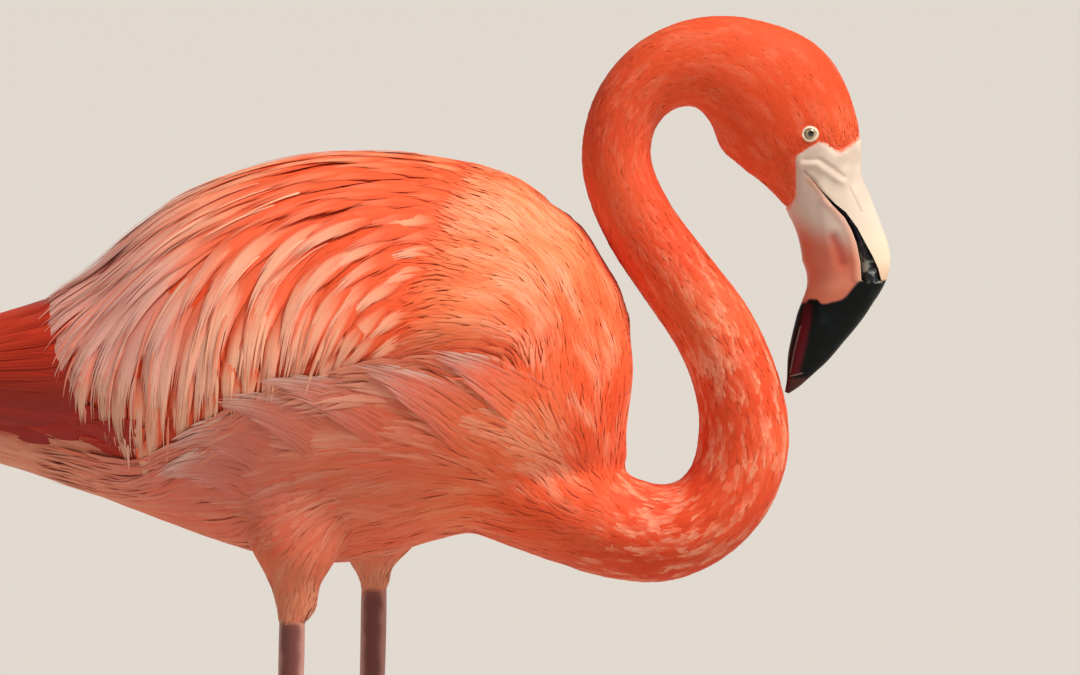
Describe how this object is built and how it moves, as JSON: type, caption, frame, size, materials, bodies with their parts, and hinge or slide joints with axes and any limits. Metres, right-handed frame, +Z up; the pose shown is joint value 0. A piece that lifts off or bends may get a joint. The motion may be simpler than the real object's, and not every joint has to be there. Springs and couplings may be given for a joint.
{
  "type": "flamingo model",
  "caption": "Life-size standing flamingo with an S-curved neck, bent bill, folded wings under a cape of long shoulder plumes, and bare legs with webbed feet.",
  "frame": {"origin": "on the floor under the middle of the bounding box, between and just ahead of the feet", "axes": "+X towards the bird's breast and bill, +Y to the bird's left, +Z up"},
  "size_m": [0.5289, 0.1694, 0.8366],
  "materials": {
    "plumage_coral": "velvety, matte",
    "plumage_pale": "soft, matte",
    "plumage_scarlet": "soft sheen",
    "plumage_black": "soft sheen",
    "bill_ivory": "satin horn",
    "bill_pink": "satin horn",
    "leg_skin": "scaly, slightly wet",
    "claw": "satin horn",
    "eye": "wet gloss"
  },
  "bodies": {
    "root": {"bill_lower": "bill_pink", "bill_upper": "bill_ivory", "claw_hind_left": "claw", "claw_hind_right": "claw", "claw_inner_left": "claw", "claw_inner_right": "claw", "claw_middle_left": "claw", "claw_middle_right": "claw", "claw_outer_left": "claw", "claw_outer_right": "claw", "eye_left": "eye", "eye_right": "eye", "foot_left": "leg_skin", "foot_right": "leg_skin", "head": "plumage_coral", "hind_toe_left": "leg_skin", "hind_toe_right": "leg_skin", "hock_left": "leg_skin", "hock_right": "leg_skin", "neck_base": "plumage_coral", "neck_loop": "plumage_coral", "neck_nape": "plumage_coral", "neck_rise": "plumage_coral", "neck_upper": "plumage_coral", "primaries_left": "plumage_black", "primaries_right": "plumage_black", "scapulars_left": "plumage_pale", "scapulars_right": "plumage_pale", "tail": "plumage_coral", "tarsus_left": "leg_skin", "tarsus_right": "leg_skin", "tertials_left": "plumage_scarlet", "tertials_right": "plumage_scarlet", "thigh_left": "plumage_pale", "thigh_right": "plumage_pale", "tibia_left": "leg_skin", "tibia_right": "leg_skin", "trunk": "plumage_coral", "wing_left": "plumage_scarlet", "wing_right": "plumage_scarlet"}
  },
  "joints": []
}
